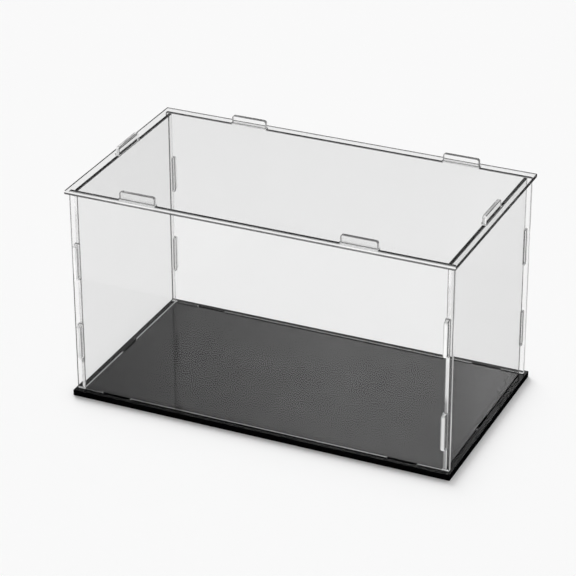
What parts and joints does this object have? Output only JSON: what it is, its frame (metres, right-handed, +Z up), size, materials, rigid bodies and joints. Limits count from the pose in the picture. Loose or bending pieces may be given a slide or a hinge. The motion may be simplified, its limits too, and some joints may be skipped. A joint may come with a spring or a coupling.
{
  "type": "model car display case",
  "caption": "Clear rectangular display case with a black base plate, flat tabbed sheets that lock into slots, and a lift-off top.",
  "frame": {"origin": "centre of the underside of the base plate, on the surface the case stands on", "axes": "+Z up, +X to the right along the long side of the case, +Y from the front to the back"},
  "size_m": [0.31, 0.17, 0.18],
  "materials": {
    "clear_acrylic": "clear polished cast acrylic sheet with laser-cut edges",
    "black_acrylic": "black polished cast acrylic sheet with glossy laser-cut edges"
  },
  "bodies": {
    "base": {"base_plate": "black_acrylic"},
    "walls": {"front_panel": "clear_acrylic", "back_panel": "clear_acrylic", "left_panel": "clear_acrylic", "right_panel": "clear_acrylic"},
    "lid": {"top_panel": "clear_acrylic"}
  },
  "joints": [
    {"name": "walls_lift", "type": "slide", "parent": "base", "child": "walls", "axis": [0, 0, 1], "range_m": [0, 0.18]},
    {"name": "lid_lift", "type": "slide", "parent": "walls", "child": "lid", "axis": [0, 0, 1], "range_m": [0, 0.06]}
  ]
}
